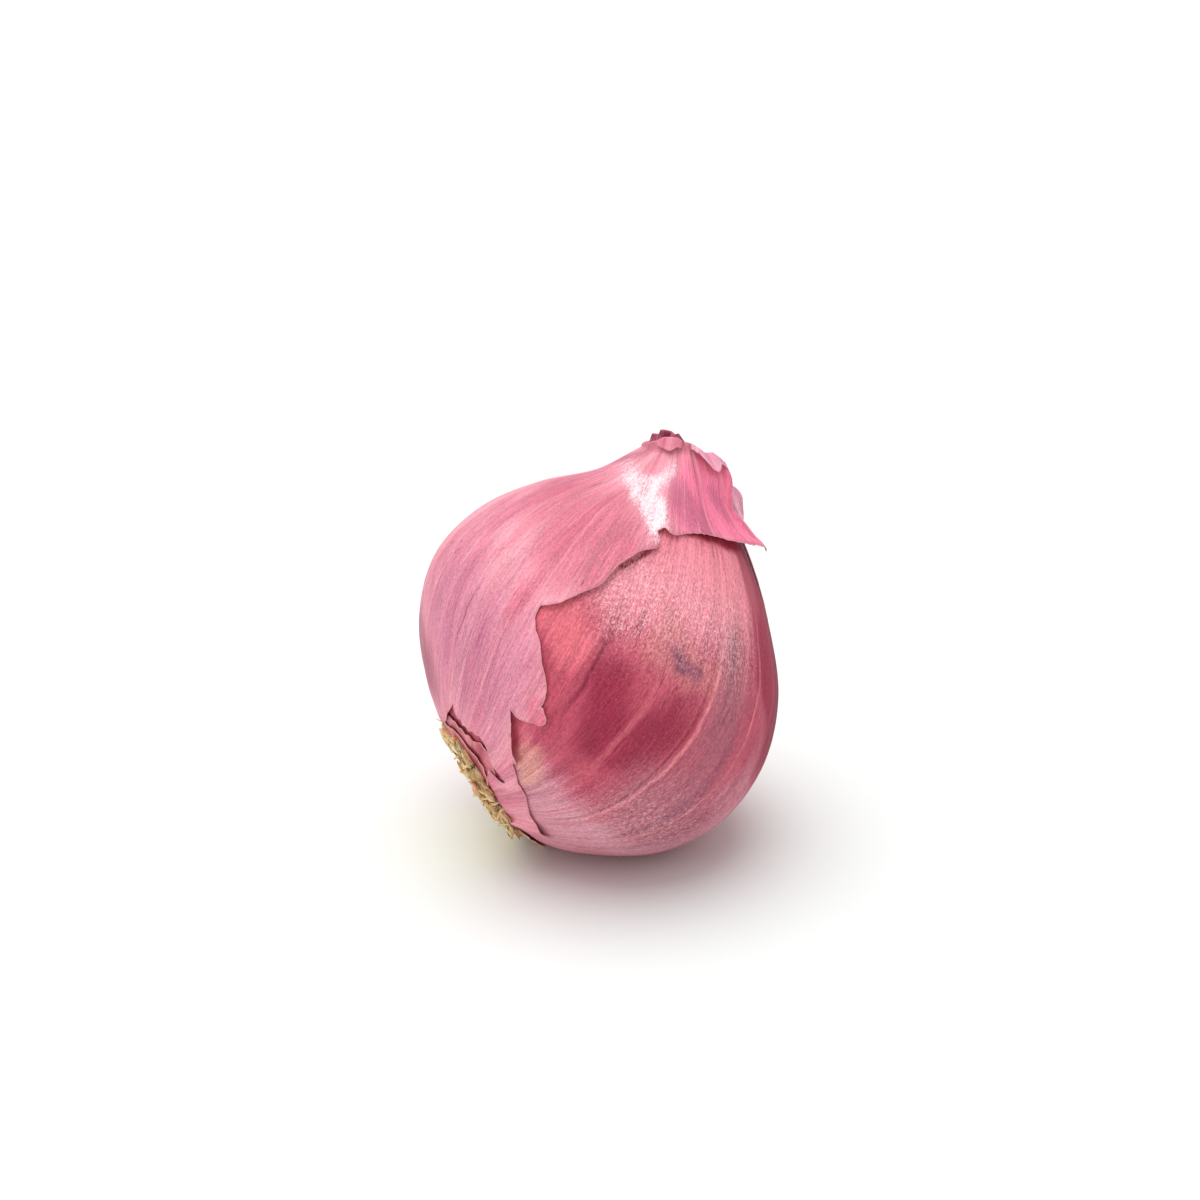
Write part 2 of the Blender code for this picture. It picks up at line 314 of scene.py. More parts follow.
def leaf_skin_group():
    """What every skin of the bulb shows, each as a value from 0 to 1. The skin UV is first turned
    into millimetres round a cylinder, so the pattern closes on itself, with the veins crowding
    towards the pole as they do in vein_at."""
    outputs = [(name, "NodeSocketFloat") for name in
               ("Fibres", "Grain", "Streaks", "Bands", "Blotches", "Veins", "Dark veins", "Dust",
                "Relief", "Vein", "Height")]
    group, s, given, out = new_group("leaf_skin", [("Shift", "NodeSocketFloat", 0.0)], outputs)
    uv = s.node("ShaderNodeUVMap", uv_map="skin").outputs[0]
    parts = s.node("ShaderNodeSeparateXYZ", {0: uv}).outputs
    half = s.times(s.math("SUBTRACT", parts[0], VEIN_POLE / 360), np.pi)
    crowd = s.math("MINIMUM", s.math("MULTIPLY_ADD", parts[1], 0.62, 0.5), 1.0)
    vein = s.math("ARCTAN2", s.math("SINE", half), s.times(crowd, s.math("COSINE", half)))
    angle = s.times(vein, 2.0)
    place = {0: s.times(s.math("COSINE", angle), BELLY_RADIUS),
             1: s.times(s.math("SINE", angle), BELLY_RADIUS),
             2: s.math("MULTIPLY_ADD", parts[1], LEAF_LENGTH, given["Shift"])}
    leaf = s.node("ShaderNodeCombineXYZ", place).outputs[0]

    def along(squash, scale, detail=1.0, roughness=0.5):
        """Noise drawn out along the leaf: the smaller the squash, the longer its streaks."""
        return s.noise(s.stretch(leaf, (1, 1, squash)), scale, detail, roughness)

    fibres, grain = along(0.06, 4.5, 4.0, 0.6), along(0.6, 4.6, 5.0, 0.85)
    veins = s.times(s.near(along(0.025, 0.42), 0.5, 0.010), s.between(along(0.2, 0.3), 0.4, 0.6))
    dark = s.times(s.near(along(0.05, 0.55), 0.46, 0.005), s.between(along(0.4, 0.25), 0.52, 0.62))
    made = {"Fibres": s.between(fibres, 0.3, 0.7), "Grain": s.between(grain, 0.3, 0.7),
            "Streaks": s.between(along(0.05, 1.1, 3.0, 0.6), 0.33, 0.67),
            "Bands": s.between(along(0.03, 0.3, 2.0), 0.35, 0.65),
            "Blotches": s.between(along(0.34, 0.24, 5.0, 0.62), 0.33, 0.67),
            "Veins": veins, "Dark veins": dark,
            "Dust": s.between(s.noise(leaf, 5.0, 4.0, 0.85), 0.5, 0.72),
            "Relief": s.math("ADD", s.times(veins, 0.35), s.math("MULTIPLY_ADD", fibres, 0.3, grain)),
            "Height": parts[1], "Vein": s.times(angle, 180 / np.pi)}
    for name, value in made.items():
        s.link(value, out[name])
    return group


def leaf_stripe_group():
    """One stripe along the leaf: 1 on its own vein, falling to 0 at a width in degrees, between a
    lowest and a highest height, and wandering a little to either side on its way."""
    inputs = [(name, "NodeSocketFloat", 0.0) for name in ("Vein", "Height", "At", "Width", "Low", "High")]
    group, s, given, out = new_group("leaf_stripe", inputs, [("Stripe", "NodeSocketFloat")])
    place = {0: given["At"], 1: s.times(given["Height"], 7.0)}
    path = s.node("ShaderNodeCombineXYZ", place).outputs[0]
    wander = s.times(s.math("SUBTRACT", s.noise(path, 1.0, 3.0, 0.6), 0.5), 5.0)
    off = s.math("ABSOLUTE", s.math("SUBTRACT", s.math("ADD", given["Vein"], wander), given["At"]))
    stripe = s.between(s.math("DIVIDE", off, given["Width"]), 0.0, 1.0, 1.0, 0.0)
    above = s.between(s.math("SUBTRACT", given["Height"], given["Low"]), 0.0, 0.10)
    below = s.between(s.math("SUBTRACT", given["High"], given["Height"]), 0.0, 0.10)
    patchy = s.between(s.noise(path, 2.5, 4.0, 0.7), 0.3, 0.6, 0.55, 1.0)
    ends = s.times(s.times(above, below), patchy)
    s.link(s.times(stripe, ends), out["Stripe"])
    return group


leaf_skin = leaf_skin_group()
leaf_stripe = leaf_stripe_group()


def new_material(name):
    material = bpy.data.materials.new(name)
    material.use_nodes = True
    shader = Shader(material.node_tree)
    return material, shader, material.node_tree.nodes["Principled BSDF"]


def mottle(s, leaf, colour, light, grain, fibres, dust):
    """Works the fine texture of a leaf into a colour: it is dimmed and brightened by the grain,
    the streaks and the fibres, then dusted with specks of the light colour."""
    swing = s.math("MULTIPLY_ADD", leaf["Grain"], grain, 1 - 0.5 * grain)
    swing = s.math("MULTIPLY_ADD", leaf["Fibres"], fibres, s.math("SUBTRACT", swing, 0.5 * fibres))
    swing = s.math("MULTIPLY_ADD", leaf["Streaks"], 0.16, s.math("SUBTRACT", swing, 0.08))
    return s.mix(s.times(leaf["Dust"], dust), s.dim(colour, swing), light)


def leaf_ground(s, leaf, pale, deep, purple, tints, stripes):
    """The large colours of a leaf: blotches of pale and deep with purple bands, then the tints
    (mask, colour, strength), then the stripes (vein, width, low, high, colour, strength). A tint's
    soft mask is given a streaky, nibbled edge, but the tint never shows where the mask is nothing."""
    colour = s.mix(leaf["Blotches"], srgb(*deep), srgb(*pale))
    colour = s.tint(colour, leaf["Bands"], 0.4, purple)
    for name, shade, strength in tints:
        mask = s.mask(name)
        rough = s.math("MULTIPLY_ADD", leaf["Grain"], 0.16, mask)
        rough = s.math("MULTIPLY_ADD", leaf["Blotches"], 0.35, rough)
        rough = s.math("MULTIPLY_ADD", leaf["Streaks"], 0.3, rough)
        rough = s.between(rough, 0.48, 1.35, 0.0, strength)
        colour = s.mix(s.times(rough, s.between(mask, 0.03, 0.40)), colour, srgb(*shade))
    for at, width, low, high, shade, strength in stripes:
        given = {"Vein": leaf["Vein"], "Height": leaf["Height"],
                 "At": at, "Width": width, "Low": low, "High": high}
        stripe = s.node("ShaderNodeGroup", given, node_tree=leaf_stripe).outputs["Stripe"]
        colour = s.tint(colour, stripe, strength, shade)
    return colour


def finish_leaf(s, leaf, finish, colour, smoothest, shine):
    """Wires the colour, the grain's roughness and the fine relief of a leaf into its surface."""
    s.link(colour, finish.inputs["Base Color"])
    s.link(s.between(leaf["Grain"], 0, 1, smoothest, 0.6), finish.inputs["Roughness"])
    finish.inputs["Specular IOR Level"].default_value = shine
    bump = s.node("ShaderNodeBump", {"Height": leaf["Relief"], "Strength": 0.4, "Distance": 0.0001})
    s.link(bump.outputs[0], finish.inputs["Normal"])


def bulb_skin_material():
    """Living skin: rose above, crimson round the belly, tawny between them, orange where the torn
    edge left it freshest, straw and pale lilac near the base, maroon on its right flank, dusted pale
    and with one grey smudge. Painted into it too: painted shadow under the lifted edges of the
    outer skin, painted shade on the right flank and under the flap, a painted sheen among the dust,
    and painted light bounced up from the table along the very bottom."""
    material, s, finish = new_material("bulb_skin")
    leaf = s.node("ShaderNodeGroup", node_tree=leaf_skin).outputs
    colour = leaf_ground(s, leaf, (214, 112, 128), (186, 82, 102), (160, 64, 92),
                         BULB_TINTS, BULB_STRIPES)
    colour = s.tint(colour, s.mask("smudge"), 0.75, (126, 64, 92))
    colour = s.tint(colour, leaf["Veins"], 0.18, (238, 124, 132))
    colour = s.tint(colour, leaf["Dark veins"], 0.5, (96, 20, 48))
    colour = mottle(s, leaf, colour, srgb(240, 164, 174), 0.6, 0.24, 0.16)
    # Pale specks over the front: partly dust and partly a painted sheen.
    dust_and_sheen = s.between(s.math("ADD", leaf["Dust"], leaf["Grain"]), 0.3, 1.5, 0.0, 0.9)
    colour = s.tint(colour, s.mask("dust_and_sheen"), dust_and_sheen, (255, 222, 224))
    finish_leaf(s, leaf, finish, colour, 0.42, 0.05)
    return material


BULB_TINTS = [
    ("rose", (242, 142, 158), 0.95), ("deep", (188, 76, 96), 0.7), ("crimson", (146, 40, 66), 0.82),
    ("orange", (232, 118, 130), 0.7), ("lilac", (214, 150, 164), 0.9), ("straw", (226, 160, 148), 0.75),
    ("edge_shadow", (150, 30, 56), 0.95), ("mauve", (168, 98, 114), 0.8), ("tawny", (206, 116, 120), 0.7),
    ("flank", (156, 36, 68), 0.9), ("maroon", (118, 14, 46), 0.9)]
SALMON, WINE = (236, 132, 142), (108, 26, 54)
BULB_STRIPES = [
    (-54, 1.5, 0.1, 0.86, (244, 146, 154), 0.7), (-51.6, 0.9, 0.12, 0.74, WINE, 0.4),
    (-44, 1.4, 0.1, 0.34, (190, 80, 108), 0.5), (-58, 1.6, 0.1, 0.3, (170, 66, 98), 0.5),
    (-33, 2, 0.3, 0.6, (220, 112, 126), 0.6), (-46, 1, 0.12, 0.36, SALMON, 0.3),
    (-60, 3.4, 0.45, 0.7, (140, 84, 104), 0.3), (-66, 1.6, 0.15, 0.5, (214, 128, 144), 0.3),
    (-77, 1.1, 0.2, 0.8, SALMON, 0.5), (-72, 3, 0.2, 0.55, (132, 72, 98), 0.4),
    (-86, 3, 0.15, 0.6, (134, 70, 98), 0.35), (-91, 0.9, 0.45, 0.85, (206, 90, 116), 0.5),
    (-97, 0.8, 0.3, 0.84, (196, 84, 108), 0.45), (-103, 1.6, 0.26, 0.8, (190, 76, 104), 0.4),
    (-112, 1.2, 0.2, 0.88, (180, 76, 100), 0.5), (-108, 0.6, 0.3, 0.9, (86, 8, 34), 0.6),
    (-100, 0.6, 0.35, 0.86, (92, 12, 38), 0.5), (-120, 2.4, 0.15, 0.8, (190, 96, 114), 0.5),
    (-128, 1, 0.15, 0.9, (98, 18, 44), 0.5), (-12, 1.3, 0.36, 0.62, WINE, 0.9),
    (-20, 0.5, 0.3, 0.6, WINE, 0.3), (-8, 0.7, 0.45, 0.8, (246, 160, 166), 0.35),
    (-24, 0.6, 0.6, 0.84, (176, 84, 104), 0.4), (-40, 0.7, 0.6, 0.84, (176, 84, 104), 0.3),
    (-30, 1, 0.12, 0.32, (160, 84, 116), 0.35)]
bulb_skin = bulb_skin_material()

BULB_SIDES, BULB_RINGS = 360, 270
turn, height = np.meshgrid(np.arange(BULB_SIDES) * 360 / BULB_SIDES, np.linspace(0, BULB_TOP, BULB_RINGS))
vein = vein_at(turn, height)
lobes = 0.07 * waves(np.radians(vein) * 7, height * 2, 3, 10, 1.6) * ease(height, 0, 0.2)
dents = 0.06 * waves(np.radians(turn) * 5, height * 12, 4, 12, 1.0) * ease(height, 0, 0.1)
lie = over_bulb(turn, height, lobes + dents)
lie[..., 2] = np.maximum(lie[..., 2], FLOOR)
ends = np.stack([lie[0].mean(axis=0), lie[-1].mean(axis=0)])
points = np.concatenate([lie.reshape(-1, 3), ends])
turn = np.append(turn.ravel(), [0, 0])
height = np.append(height.ravel(), [0, BULB_TOP])
vein = vein_at(turn, height)
wander = 0.010 * waves(vein * 0.2, height * 30, 8, 10, 1.0)
# Where each tint lies, as smears of (share, drift, start, end, width in millimetres) whose start
# and end are (vein, height) places.
BULB_SMEARS = {
    "rose": [(1, 1, (-5, 0.72), (-62, 0.75), 6.6), (0.6, 0, (-3, 0.325), (-10, 0.285), 1.3)],
    "deep": [(1, 1, (-6, 0.45), (-50, 0.44), 8.5)],
    "crimson": [(0.9, 2, (-19, 0.465), (-26, 0.41), 2.6), (0.9, 2, (-38, 0.41), (-46, 0.47), 2.9)],
    "tawny": [
        (1, 1, (-28, 0.575), (-50, 0.57), 1.7), (0.6, 1, (-26, 0.67), (-33, 0.61), 1.5),
        (0.5, 0, (-62, 0.72), (-66, 0.6), 1.8)],
    "orange": [(1, 0, (8, 0.54), (-2, 0.5), 2.2), (0.4, 0, (-4, 0.38), (-8, 0.33), 1.8)],
    # Painted shadow on the flesh under the lifted edges of the outer skin: beside the slit, under the
    # front tear and under the flap's hem.
    "edge_shadow": [
        (0.45, 0, (3, 0.32), (-8, 0.258), 0.65), (1.2, 0, (-12, 0.747), (-4, 0.685), 0.35),
        (1.3, 0, (-24, 0.842), (-112, 0.848), 0.9)],
    # The lilac smear along the very bottom is painted light bounced up from the table; the others are the
    # skin's own pale lilac.
    "lilac": [
        (1, 1, (-22, 0.215), (-60, 0.18), 4.2), (0.5, 0, (-20, 0.16), (-50, 0.13), 2.2),
        (0.8, 0, (-35, 0.09), (-100, 0.11), 3.2), (0.9, 1, (-60, 0.17), (-95, 0.24), 3.4),
        (0.6, 1, (-88, 0.42), (-104, 0.34), 3.6)],
    "straw": [(1, 0, (-11, 0.275), (-20, 0.235), 2)],
    "mauve": [
        (1, 0, (-58, 0.36), (-84, 0.32), 4.6), (0.7, 1, (-30, 0.105), (-62, 0.115), 1.8),
        (1, 0, (-60, 0.64), (-64, 0.5), 2.6)],
    # flank and maroon darken the right flank, partly its own crimson and partly painted shade; maroon's
    # second smear is painted shade on the flesh under the flap's hem.
    "flank": [
        (1, 1, (-90, 0.8), (-92, 0.62), 3.4), (1, 1, (-92, 0.62), (-99, 0.48), 2.4),
        (0.7, 1, (-82, 0.68), (-84, 0.61), 1.8), (0.55, 1, (-74, 0.82), (-76, 0.62), 1.6)],
    "maroon": [(0.85, 2, (-103, 0.86), (-107, 0.52), 4.6), (0.5, 0, (-88, 0.86), (-130, 0.84), 3)],
    "smudge": [(1, 0.5, (-34, 0.592), (-38, 0.573), 0.7), (1, 0.5, (-38, 0.573), (-45, 0.575), 0.7)],
    # Where the dust and its painted sheen lie.
    "dust_and_sheen": [
        (1, 0, (-10, 0.66), (-56, 0.67), 4.5), (0.9, 0, (-4, 0.69), (-13, 0.61), 2.3),
        (0.6, 0, (-60, 0.3), (-90, 0.3), 5)],
}
masks = {name: patch(vein, height, smears, wander) for name, smears in BULB_SMEARS.items()}
masks["crimson"] = np.minimum(masks["crimson"], 0.95)    # where its two patches meet
# Seen from the neck the turn runs clockwise, so the faces are turned over to look outwards.
faces = [f[:, ::-1] for f in closed_rings(BULB_RINGS, BULB_SIDES)]
bulb = add_piece("bulb_flesh", points, faces, turn, height, [bulb_skin], masks)
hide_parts("bulb")

# ------------------------------------------------------------------ outer skin
# One sheet of dry papery skin, a tenth of a millimetre thick, still rooted at the base. It has
# torn down the front, so it lies loose there, curls at its edges and lifts in a flap at the neck.
SKIN_THICKNESS = 0.1        # millimetres, like the distances below
SKIN_REST = 0.22            # how far the skin lies off the flesh
SKIN_CLOSEST = 0.16         # the closest its outer face comes to the flesh
TABLE_GAP = 0.25            # the least height of any dry skin above the table

# The sheet's outline on its flat pattern, as stretches of (turn in degrees, height, lift of the
# edge). Each stretch runs on to the first point of the next one.
FLAP_SIDE = [(9, 0.97, 0), (7, 0.94, 0), (5, 0.91, 0.05), (3, 0.87, 0.15), (0, 0.845, 0.25)]
FLAP_HEM = [
    (-3, 0.816, 0.3), (5, 0.824, 0.4), (20, 0.832, 0.5), (36, 0.836, 0.5), (50, 0.838, 0.45),
    (62, 0.834, 0.4), (72, 0.826, 0.35), (79, 0.814, 0.35), (84, 0.802, 0.5), (87, 0.797, 0.8),
    (89, 0.801, 0.8)]
FRONT_TEAR = [
    (91, 0.803, 0.6), (93, 0.793, 0.4), (90.5, 0.779, 0.35), (90, 0.766, 0.35), (93.5, 0.744, 0.6),
    (97, 0.727, 0.8), (99.3, 0.703, 1), (101.5, 0.681, 1), (103, 0.659, 0.7), (104.5, 0.624, 0.35),
    (106.5, 0.608, 0.2), (109.5, 0.579, 0.25), (111.5, 0.558, 0.4), (113, 0.546, 0.45)]
SIDE_TEAR = [
    (116.5, 0.528, 0.15), (116.5, 0.514, 0.1), (114.5, 0.492, 0.1), (110.5, 0.471, 0.15),
    (109, 0.457, 0.15), (107, 0.442, 0.15), (104.5, 0.427, 0.2), (103, 0.411, 0.2), (102, 0.395, 0.25)]
HOOK = [
    (102.5, 0.376, 0.4), (101.8, 0.383, 0.3), (100.6, 0.376, 0.4), (99.2, 0.371, 0.5), (98.6, 0.361, 0.5),
    (99.8, 0.35, 0.3), (101.5, 0.346, 0.05), (104, 0.336, 0.05), (107, 0.332, 0.1)]
LOW_TEAR = [
    (110, 0.342, 0.2), (108, 0.327, 0.45), (106, 0.312, 0.7), (103.4, 0.291, 0.9), (100.8, 0.27, 0.9),
    (98.4, 0.252, 0.6), (99.2, 0.243, 0.3), (96, 0.224, 0.25), (93, 0.206, 0.2), (90, 0.199, 0.2),
    (87, 0.19, 0.2), (81, 0.161, 0.2), (76, 0.145, 0.2), (70, 0.134, 0.25), (64, 0.129, 0.3)]
TUFT_EDGE = [
    (57, 0.125, 0.35), (60, 0.072, 0.1), (70, 0.06, 0.1), (78, 0.068, 0.1), (84, 0.08, 0.1),
    (90, 0.09, 0.1), (96, 0.096, 0.1), (101, 0.12, 0.15), (103, 0.148, 0.2)]
CURL_GAP = [
    (104, 0.168, 0.3), (101, 0.166, 0.3), (97, 0.165, 0.3), (95.6, 0.173, 0.3), (98.5, 0.182, 0.25),
    (101.5, 0.187, 0.25), (105, 0.196, 0.25)]
BASE_TEAR = [
    (107, 0.205, 0.3), (109.5, 0.218, 0.25), (112, 0.226, 0.25), (114, 0.23, 0.25), (115.5, 0.222, 0.3),
    (117, 0.226, 0.3), (118.5, 0.217, 0.3), (120, 0.222, 0.3), (122, 0.214, 0.3), (123.5, 0.221, 0.3),
    (125, 0.213, 0.3), (127, 0.217, 0.3), (128.4, 0.222, 0.25), (129.2, 0.24, 0.2), (130, 0.22, 0.2),
    (132, 0.19, 0.2), (135, 0.15, 0.2), (140, 0.122, 0.15), (150, 0.095, 0.1), (165, 0.075, 0.1),
    (180, 0.065, 0.1), (220, 0.065, 0.1), (252, 0.075, 0.2)]
BACK_TEAR = [
    (282, 0.085, 0.3), (292, 0.2, 0.3), (312, 0.3, 0.4), (333, 0.4, 0.3), (343, 0.5, 0.15),
    (349, 0.6, 0.1), (351, 0.72, 0.1), (349, 0.8, 0.2), (343, 0.86, 0.4), (336, 0.93, 0.3)]
NECK_RIM = [
    (334, 1, 0.1), (300, 1.022, 0.1), (270, 1.03, 0.1), (240, 1.034, 0.1), (210, 1.02, 0.1),
    (180, 1.012, 0.1), (150, 1.019, 0.1), (120, 1.028, 0.1), (90, 1.03, 0.1), (62, 1.02, 0.1),
    (45, 1, 0.1), (30, 0.986, 0.1), (18, 0.976, 0.1)]


def inside(points, outline):
    """True for the points inside a closed outline, by counting crossings to the right."""
    answer = np.zeros(len(points), bool)
    after = np.roll(outline, -1, axis=0)
    for (x0, y0), (x1, y1) in zip(outline, after):
        if y0 != y1:
            spans = (points[:, 1] < y0) != (points[:, 1] < y1)
            answer ^= spans & (points[:, 0] < x0 + (points[:, 1] - y0) * (x1 - x0) / (y1 - y0))
    return answer


def torn_edge(stretches, step, ragged, seed):
    """A closed outline in pattern millimetres with its lift, stepped evenly along smooth curves
    and worked in and out by a random relief: returns (across, up, lift) rows."""
    rows = []
    for stretch, following in zip(stretches, stretches[1:] + stretches[:1]):
        flat = np.array(stretch + following[:1], float) * [np.radians(BELLY_RADIUS), LEAF_LENGTH, 1]
        count = max(2, int(np.linalg.norm(np.diff(flat[:, :2], axis=0), axis=1).sum() / step))
        rows.append(smooth_line(flat, np.arange(count) / count))
    edge = np.concatenate(rows)
    tangent = np.roll(edge, -1, axis=0)[:, :2] - np.roll(edge, 1, axis=0)[:, :2]
    square = np.stack([tangent[:, 1], -tangent[:, 0]], axis=1)
    square /= np.linalg.norm(square, axis=1, keepdims=True) + 1e-9
    x, y = edge[:, 0], edge[:, 1]
    relief = waves(x, y, seed, 24, 6.0) + 0.5 * waves(x, y, seed + 1, 16, 18.0)
    edge[:, :2] += square * (relief * ragged)[:, None]
    return edge


def nearest_edge(flat, edge):
    """Distance from each point to the edge, and the edge's lift there, as a mean that counts
    close parts of the edge far more than distant ones."""
    distance, total, weight = np.full(len(flat), 1e9), np.zeros(len(flat)), np.zeros(len(flat))
    for across, up, lift in edge:
        apart = (flat[:, 0] - across) ** 2 + (flat[:, 1] - up) ** 2
        distance = np.minimum(distance, apart)
        near = 1 / (apart + 0.02) ** 2
        total += near * lift
        weight += near
    return np.sqrt(distance), total / weight


def cut_skin(stretches, step, ragged, seed):
    """Cuts a sheet from its pattern: returns turn, height, distance in from the edge, the lift
    of the nearest edge, and the triangles."""
    edge = torn_edge(stretches, step, ragged, seed)
    outline = edge[:, :2]
    low, high = outline.min(axis=0), outline.max(axis=0)
    fill_step = step * 2
    across, up = np.meshgrid(np.arange(low[0], high[0], fill_step),
                             np.arange(low[1], high[1], fill_step * 0.87))
    across = across + np.where(np.arange(len(up)) % 2, fill_step / 2, 0)[:, None]
    filling = np.stack([across.ravel(), up.ravel()], axis=1)
    filling = filling[inside(filling, outline)]
    clearance = nearest_edge(filling, edge)[0]
    filling = filling[clearance > 0.6 * step]
    rim = [(i, (i + 1) % len(outline)) for i in range(len(outline))]
    cut = delaunay_2d_cdt([Vector(p) for p in np.concatenate([outline, filling])], rim, [], 1, 1e-6)
    flat = np.array([tuple(p) for p in cut[0]])
    triangles = np.array(cut[2])[:, ::-1]
    depth, lift = nearest_edge(flat, edge)
    turn = np.degrees(flat[:, 0] / BELLY_RADIUS)
    return turn, np.maximum(flat[:, 1] / LEAF_LENGTH, 0), depth, lift, triangles


def dry_skin_material(name, pale, deep, purple, shift, tints=(), stripes=(), bloom_and_glare=0.0):
    """Dry papery skin: pink to mauve fibres running up the leaf, pale veins, a few dark ones,
    dust specks, a ragged white patch near the neck that is the skin's own whitening with a painted
    highlight of glare on it, and a slightly paler rim."""
    material, s, finish = new_material(name)
    leaf = s.node("ShaderNodeGroup", {"Shift": shift}, node_tree=leaf_skin).outputs
    colour = leaf_ground(s, leaf, pale, deep, purple, tints, stripes)
    colour = s.tint(colour, leaf["Veins"], 0.4, (255, 178, 178))
    colour = s.tint(colour, leaf["Dark veins"], 0.75, (136, 48, 80))
    colour = mottle(s, leaf, colour, srgb(255, 208, 214), 0.55, 0.3, 0.28)
    # The ragged white patch near the neck: the skin's own whitening with a painted highlight of glare.
    patchy = s.math("MULTIPLY_ADD", leaf["Blotches"], 0.6, s.mask("bloom_and_glare"))
    patchy = s.between(s.math("MULTIPLY_ADD", leaf["Grain"], 1.1, patchy), 1.3, 2.35)
    patchy = s.times(patchy, s.between(s.mask("bloom_and_glare"), 0.12, 0.5))
    colour = s.tint(colour, patchy, bloom_and_glare, (255, 244, 248))
    colour = s.mix(s.between(s.mask("depth"), 0.0, 0.16, 0.45, 0.0), colour, srgb(*pale))
    finish_leaf(s, leaf, finish, colour, 0.4, 0.1)
    return material


def add_skin(name, turn, height, distance, triangles, materials, masks, node):
    """A cut sheet laid over the bulb and thickened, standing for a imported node."""
    points = over_bulb(turn, height, distance)
    points[:, 2] = np.maximum(points[:, 2], FLOOR + TABLE_GAP * MM)
    skin = add_piece(name, points, [triangles], turn, height, materials, masks)
    wall = skin.modifiers.new("wall", "SOLIDIFY")
    wall.thickness = SKIN_THICKNESS * MM
    wall.offset = -1
    wall.material_offset = 1
    wall.material_offset_rim = 1
    if node:
        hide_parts(node)
    return skin


SKIN_TINTS = [
    ("mauve", (202, 124, 150), 0.7), ("rose", (206, 106, 126), 0.75), ("flap", (248, 122, 158), 0.85),
    ("fibrous", (176, 92, 122), 0.65), ("dark", (160, 80, 102), 0.75), ("tongue", (214, 98, 122), 0.55),
    ("withered_and_shade", (172, 84, 104), 0.55)]
BRIGHT, FAINT = (250, 176, 186), (194, 104, 136)
SKIN_STRIPES = [
    (40, 0.8, 0.33, 0.52, (136, 44, 78), 0.8), (28, 0.7, 0.32, 0.46, (136, 44, 78), 0.6),
    (21, 0.7, 0.24, 0.36, (150, 60, 92), 0.6), (58, 0.7, 0.48, 0.66, (150, 60, 92), 0.6),
    (34, 1, 0.15, 0.42, BRIGHT, 0.4), (22, 1.1, 0.15, 0.5, BRIGHT, 0.4), (16, 1, 0.25, 0.6, FAINT, 0.4),
    (12, 0.9, 0.15, 0.4, BRIGHT, 0.4), (17, 0.7, 0.55, 0.86, BRIGHT, 0.4), (30, 3, 0.2, 0.5, FAINT, 0.4),
    (47, 2, 0.15, 0.6, FAINT, 0.35), (54, 1.2, 0.2, 0.75, BRIGHT, 0.25),
    (66, 2.6, 0.25, 0.8, BRIGHT, 0.3), (4, 0.8, 0.6, 0.8, (168, 64, 96), 0.5),
    # The stripes at negative veins lie on the flap: there the bright and dark ones paint highlights and
    # shade along its folds, over its own fibrous streaks.
    (44, 1, 0.6, 0.92, BRIGHT, 0.25), (-28, 0.8, 0.8, 1.05, BRIGHT, 0.4),
    (-47, 1.8, 0.78, 1.05, BRIGHT, 0.55), (-58, 1, 0.78, 1.05, FAINT, 0.4),
    (-36, 1, 0.8, 1.04, (190, 84, 120), 0.5), (-68, 1, 0.8, 1.04, (196, 76, 120), 0.6),
    (-82, 1.4, 0.8, 1.04, BRIGHT, 0.5), (-94, 1.4, 0.8, 1.04, (196, 76, 120), 0.5)]
dry_skin = dry_skin_material("dry_skin", (248, 171, 184), (213, 115, 136), (206, 118, 147),
                             0.0, SKIN_TINTS, SKIN_STRIPES, 0.95)
skin_lining = dry_skin_material("skin_lining", (244, 190, 194), (222, 140, 152), (214, 130, 156), 20.0)

outline = [FLAP_SIDE, FLAP_HEM, FRONT_TEAR, SIDE_TEAR, HOOK, LOW_TEAR, TUFT_EDGE, CURL_GAP, BASE_TEAR,
           BACK_TEAR, NECK_RIM]
turn, height, depth, lift, triangles = cut_skin(outline, 0.25, 0.04, 11)
vein = vein_at(turn, height)
tip_flare = 1.8 * bell(turn, -3, 34) * np.clip((0.905 - height) / 0.075, 0, 1) ** 1.4 * (height > 0.78)
neck_flare = 1.6 * ease(height, 0.90, 0.955) * bell(turn, 6, 42)
ridges = ((0.45 * bell(turn, 64 + 40 * (height - 0.85), 4.0) + 0.35 * bell(turn, 33, 5)
           - 0.30 * bell(turn, 48, 7) - 0.30 * bell(turn, 24, 3)) * ease(height, 0.80, 0.90)
          + (0.55 * bell(turn, 17 - 90 * (0.95 - height), 2.4)
             + 0.40 * bell(turn, 5 - 30 * (0.93 - height), 1.8)) * ease(height, 0.83, 0.88))
pleats = 0.16 * waves(np.radians(turn) * 9, height * 5, 21, 12, 1.2) * ease(height, 0.88, 0.97)
crinkle = 0.09 * waves(vein * 0.31, height * 6, 31, 14, 1.6) * (0.35 + ease(-height, -0.45, -0.2))
relief = 0.05 * waves(np.radians(turn) * 16, height * 24, 5, 16, 0.9)
distance = (SKIN_REST + tip_flare + neck_flare + ridges + pleats + np.maximum(crinkle + relief, -0.08)
            + lift * np.exp(-(depth / 1.1) ** 1.2))
distance = np.maximum(distance, SKIN_CLOSEST)
